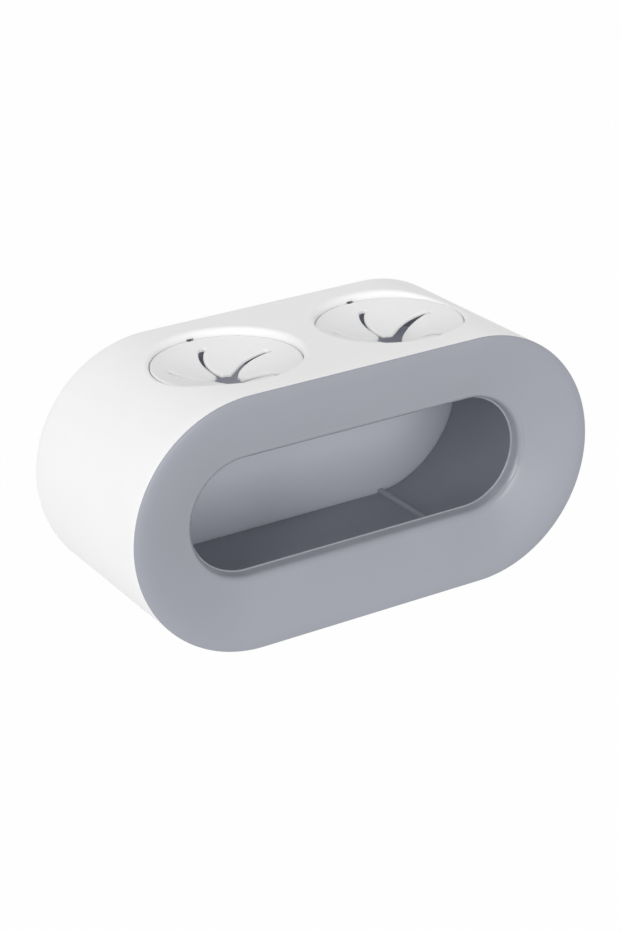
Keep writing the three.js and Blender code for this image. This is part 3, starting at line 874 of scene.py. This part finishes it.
def half_slit(radius):
    """Half the slit's width: a flare at the tips, a slow widening, and at the outer end a round hole."""
    hole = np.sqrt(np.clip(SLIT_HOLE_RADIUS ** 2 - (radius - HOLE_CENTRE) ** 2, 0, None))
    wide = np.clip((radius - TIP_RADIUS) / (HOLE_CENTRE - TIP_RADIUS), 0, 1)
    gap = SLIT_INNER_GAP + (SLIT_OUTER_GAP - SLIT_INNER_GAP) * wide ** 2
    flare = SLIT_FLARE * np.clip(1 - (radius - TIP_RADIUS) / FLARE_REACH, 0, 1) ** 2
    return np.where(radius > HOLE_CENTRE, hole, np.maximum(hole, gap / 2 + flare))


print(f"slit from {TIP_RADIUS:.1f} to {WEB_RADIUS:.1f} mm from the axis")

# %% [markdown]
# ## A petal's rows and section
# In polar terms a petal is simple: at each distance from the axis it spans the angle between two copies
# of one slit, turned by a fifth of a circle. So its grid has a row for each distance, and each row is a
# loop round the cross-section. One upper edge is well rounded and catches the light, and the other is
# steeper. Rows crowd together at the tip and round the hole, where the outline turns fastest.

# %% Blade rows and section
BLADE_THICKNESS = 0.95
EDGE_ROUND = 0.65
UNDER_ROUND = 0.25
TIP_ROUND = 0.38
BLADE_STEPS = 34
HOLE_STEPS = 16
ACROSS_STEPS = 30
CORNER_STEPS = 5
CORNER_POINTS = 2 * CORNER_STEPS + 2


def blade_radii():
    """Distances of a petal's rows: even along the blade, crowding at the tip and round the hole."""
    start = HOLE_CENTRE - math.sqrt(SLIT_HOLE_RADIUS ** 2 - (SLIT_OUTER_GAP / 2) ** 2)
    tip = TIP_RADIUS + TIP_ROUND * (1 - np.cos(np.linspace(0, np.pi / 2, CORNER_STEPS + 1)))
    blade = np.linspace(tip[-1], start, BLADE_STEPS + 1)
    swing = np.linspace(math.acos((HOLE_CENTRE - start) / SLIT_HOLE_RADIUS), np.pi, HOLE_STEPS + 1)
    rows = np.concatenate([tip[:-1], blade[:-1], HOLE_CENTRE - SLIT_HOLE_RADIUS * np.cos(swing)])
    return rows[:, None]


def blade_section():
    """Loop round a petal's cross-section: share across, offset along the edge's side, and depth.

    The right edge is a large quarter circle above and a small one below. On the left edge the offsets
    run the same way while the depths run back, which makes it steep above and flat below."""
    swing = np.linspace(0, np.pi / 2, CORNER_STEPS + 1)
    inset, sink = np.sin(swing), 1 - np.cos(swing)
    share = np.linspace(0, 1, ACROSS_STEPS + 1)
    right_share = np.ones(CORNER_POINTS)
    right_offset = np.concatenate([EDGE_ROUND * inset, EDGE_ROUND + UNDER_ROUND * (inset[::-1] - 1)])
    right_depth = np.concatenate([EDGE_ROUND * sink, BLADE_THICKNESS - UNDER_ROUND * sink[::-1]])
    shares = np.concatenate([share, right_share, share[::-1], 0 * right_share])
    offsets = np.concatenate([0 * share, right_offset, 0 * share, -right_offset])
    depths = np.concatenate([0 * share, right_depth, 0 * share + BLADE_THICKNESS, right_depth[::-1]])
    return shares, offsets, depths


print("rows of a petal:", len(blade_radii()), "points in a row:", len(blade_section()[0]))

# %% [markdown]
# ## The shape of one petal
# A petal lies in the funnel and hangs from the web by a short bend. Some of the petals hang a little
# lower than the others, as soft ones do after use: such a petal is turned about its bend line, and the
# turn eases in over the bend, so that it stays smooth where it meets the ring.

# %% One petal
BEND_START = WEB_RADIUS * math.cos(petal_pitch / 2)


def bend_end(bend_y):
    """The bend is as long before the bend line as behind it."""
    return 2 * bend_y - BEND_START


def petal_points(droop, bend_y, bend_z):
    """Petal in its own frame: rows at growing distance, each the section loop spread between two slits.

    The angle at a point is its share of the way between the slits' edges. The height is the funnel's,
    less the point's depth. The tip is rounded. An extra row at each end folds the petal shut: at half
    the depth, each point meets its mirror on the other face half way. A drooping petal is turned about
    its bend line, easing in over the bend."""
    radius = blade_radii()
    shares, offsets, depths = blade_section()
    middle = slit_turn(radius)
    slant = np.sqrt(1 + (radius * np.gradient(middle[:, 0], radius[:, 0])[:, None]) ** 2)
    margin = (half_slit(radius) * slant + EDGE_ROUND) / radius
    low = np.pi / 2 - petal_pitch / 2 + middle + margin
    high = np.pi / 2 + petal_pitch / 2 + middle - margin
    turn = low + (high - low) * shares + offsets / radius
    tip = np.clip((TIP_RADIUS + TIP_ROUND - radius) / TIP_ROUND, 0, 1)
    swell = BLADE_THICKNESS - 2 * TIP_ROUND * (1 - np.sqrt(1 - tip ** 2))
    depth = BLADE_THICKNESS / 2 + (depths / BLADE_THICKNESS - 0.5) * swell
    radius, turn, depth = (np.concatenate([rows[:1], rows, rows[-1:]]) for rows in (radius, turn, depth))
    mirrored = np.roll(turn[:, ::-1], -CORNER_POINTS, 1)
    turn[[0, -1]] = (turn[[0, -1]] + mirrored[[0, -1]]) / 2
    depth[[0, -1]] = BLADE_THICKNESS / 2
    x, y = radius * np.cos(turn), radius * np.sin(turn)
    z = funnel(radius) - depth / math.cos(FUNNEL_SLOPE)
    ease = np.clip((BEND_START - y) / (BEND_START - bend_end(bend_y)), 0, 1)
    angle = math.radians(droop) * ease * ease * (3 - 2 * ease)
    dy, dz = y - bend_y, z - bend_z
    return np.stack([x, bend_y + dy * np.cos(angle) - dz * np.sin(angle),
                     bend_z + dy * np.sin(angle) + dz * np.cos(angle)], -1)


print(f"bend starts {BEND_START:.2f} mm from the axis")

# %% [markdown]
# ## Ten petals
# Each petal hangs from a hinge line of the frame, which stands in for the bend of the soft material.
# The hinge gives a petal its place: across its axis lies the way to the middle of the clamp, and a
# petal that droops is turned about that line.

# %% Pinwheel petals
EXTRA_DROOP = {"left_petal_2": 3.0, "left_petal_3": 6.5, "right_petal_2": 15.0, "right_petal_3": 6.0}

for joint in frame["joints"]:
    name = joint["child"]
    centre = CLAMPS[name.split("_")[0]]
    hinge = np.array(joint["pos_m"]) / MM
    along = np.array(joint["axis"])[:2]
    inward = np.array([along[1], -along[0]])
    bend_y = -(hinge[:2] - centre) @ inward
    points = petal_points(EXTRA_DROOP.get(name, 0.0), bend_y, hinge[2])
    plan = centre + points[..., :1] * along - points[..., 1:2] * inward
    petal_grid = grid(np.dstack([plan, points[..., 2:]]), loop_columns=True)
    petal = piece(name.replace("petal", "blade"), [petal_grid], SOFT_WHITE)
    start, end = (Vector((*(centre - y * inward), hinge[2])) * MM for y in (BEND_START, bend_end(bend_y)))
    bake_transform(petal)
    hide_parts(name)

# %% [markdown]
# ## Camera
# The photograph is a product shot with a long lens, from the left of the front and a little above it,
# with a slight roll. The place is written from the middle of the front face. The camera's axes are
# worked out from its three angles, because a Track To constraint would level the roll out.

# %% Camera
CAMERA_PLACE = (-251.95, -413.01, 215.42)
CAMERA_TURN = math.radians(29.7914)
CAMERA_DROP = math.radians(23.2941)
CAMERA_ROLL = math.radians(-2.3675)
CAMERA_LENS = 92.13
SENSOR = 36.0

heading = Vector((math.sin(CAMERA_TURN), math.cos(CAMERA_TURN), 0))
forward = heading * math.cos(CAMERA_DROP) - Vector((0, 0, math.sin(CAMERA_DROP)))
level = Vector((heading.y, -heading.x, 0))
upright = level.cross(forward)
side_axis = math.cos(CAMERA_ROLL) * level + math.sin(CAMERA_ROLL) * upright
up_axis = math.cos(CAMERA_ROLL) * upright - math.sin(CAMERA_ROLL) * level
lens = bpy.data.cameras.new("camera")
lens.lens = CAMERA_LENS
lens.sensor_width = SENSOR
camera = bpy.data.objects.new("camera", lens)
place = (Vector(CAMERA_PLACE) + Vector((0, FRONT_Y, 0))) * MM
axes = Matrix((side_axis, up_axis, -forward)).transposed().to_4x4()
camera.matrix_world = Matrix.Translation(place) @ axes
bpy.context.scene.collection.objects.link(camera)
bpy.context.scene.camera = camera
print("camera at", tuple(round(value, 4) for value in camera.location))

# %% [markdown]
# ## Lamps
# A product shot is lit by large soft boxes. A broad one on the left lights the end and the top, a tall
# strip at the front left shapes the dish of the front, and a broad one in front reaches through the
# window to the plate behind. Point lamps would be simpler, but their shadows are hard. Powers are low
# enough that the white shell keeps its shading.

# %% Lamps
LAMP_DISTANCE = 3.0
LAMPS = {"side_lamp": {"toward": (-0.90, -0.15, 0.25), "size": (1.6, 1.6), "power": 12.8},
         "key_lamp": {"toward": (-0.70, -0.58, 0.36), "size": (0.6, 1.5), "power": 18.0},
         "window_lamp": {"toward": (-0.13, -1.0, 0.17), "size": (1.5, 1.5), "power": 24.2}}


def lamp(name, toward, size, power):
    """Area lamp of a width and a height that looks back at the object from the given direction."""
    data = bpy.data.lights.new(name, "AREA")
    data.shape = "RECTANGLE"
    data.size, data.size_y = size
    data.energy = power
    made = bpy.data.objects.new(name, data)
    direction = Vector(toward).normalized()
    aim = direction.to_track_quat("Z", "Y").to_matrix().to_4x4()
    made.matrix_world = Matrix.Translation(direction * LAMP_DISTANCE) @ aim
    bpy.context.scene.collection.objects.link(made)
    print("lamp", name, "power", power)


for name, values in LAMPS.items():
    lamp(name, **values)

# %% [markdown]
# ## Sky
# An even white sky fills the shadows. Its light is weaker than white, so the Light Path node tells the
# rays apart: what is seen, directly or in a mirror, is plain white, and the rays that carry light get
# the sky's own strength. A white backdrop behind the object would light it too.

# %% Sky
SKY_LIGHT = 0.695


def seen_directly(wire):
    """1 for rays from the camera and for mirror or glass rays, 0 for the rays that carry light."""
    paths = [wire.node("ShaderNodeLightPath", output=name)
             for name in ("Is Camera Ray", "Is Glossy Ray", "Is Transmission Ray")]
    both = wire.math("MAXIMUM", paths[0], paths[1])
    return wire.math("MAXIMUM", both, paths[2])


sky = bpy.data.worlds.new("studio")
sky.use_nodes = True
strength = SKY_LIGHT + seen_directly(Wire(sky.node_tree)) * (1 - SKY_LIGHT)
background = sky.node_tree.nodes["Background"]
background.inputs["Color"].default_value = (1, 1, 1, 1)
sky.node_tree.links.new(strength.socket, background.inputs["Strength"])
bpy.context.scene.world = sky
print("sky light", SKY_LIGHT)

# %% [markdown]
# ## Floor
# The holder hangs on a wall, so the plain pale floor lies well below it. The same Light Path mask mixes
# its paint with an even glow: the camera sees it nearly as white as the sky, with a trace of shadow, and
# the object gets the light that the paint gives back.

# %% Floor
FLOOR_DROP = 450.0
FLOOR_HALF = 6000.0
FLOOR_COLOUR = (0.82, 0.82, 0.82, 1)
FLOOR_ROUGHNESS = 0.9
FLOOR_GLOW = 0.97

floor_paint = bpy.data.materials.new("floor_paint")
floor_paint.use_nodes = True
paint_tree = floor_paint.node_tree
paint = paint_tree.nodes["Principled BSDF"]
paint.inputs["Base Color"].default_value = FLOOR_COLOUR
paint.inputs["Roughness"].default_value = FLOOR_ROUGHNESS
paint_wire = Wire(paint_tree)
painted = Wire(paint_tree, paint.outputs["BSDF"])
glow = paint_wire.node("ShaderNodeEmission", inputs={"Color": (1, 1, 1, 1), "Strength": 1.0})
glow_share = seen_directly(paint_wire) * FLOOR_GLOW
seen = paint_wire.node("ShaderNodeMixShader", inputs={0: glow_share, 1: painted, 2: glow})
paint_tree.links.new(seen.socket, paint_tree.nodes["Material Output"].inputs["Surface"])

floor_z = shell_low[2] - FLOOR_DROP
floor_plan = np.array([(-1, -1), (1, -1), (1, 1), (-1, 1)]) * FLOOR_HALF
floor_points = np.column_stack([floor_plan, np.full(len(floor_plan), floor_z)]) * MM
floor_mesh = bpy.data.meshes.new("floor")
floor_mesh.from_pydata(floor_points, [], [(0, 1, 2, 3)])
floor_mesh.materials.append(floor_paint)
floor = bpy.data.objects.new("floor", floor_mesh)
bpy.context.scene.collection.objects.link(floor)
bpy.context.scene.view_settings.view_transform = "Standard"
print("floor at z", round(floor_z * MM, 3))
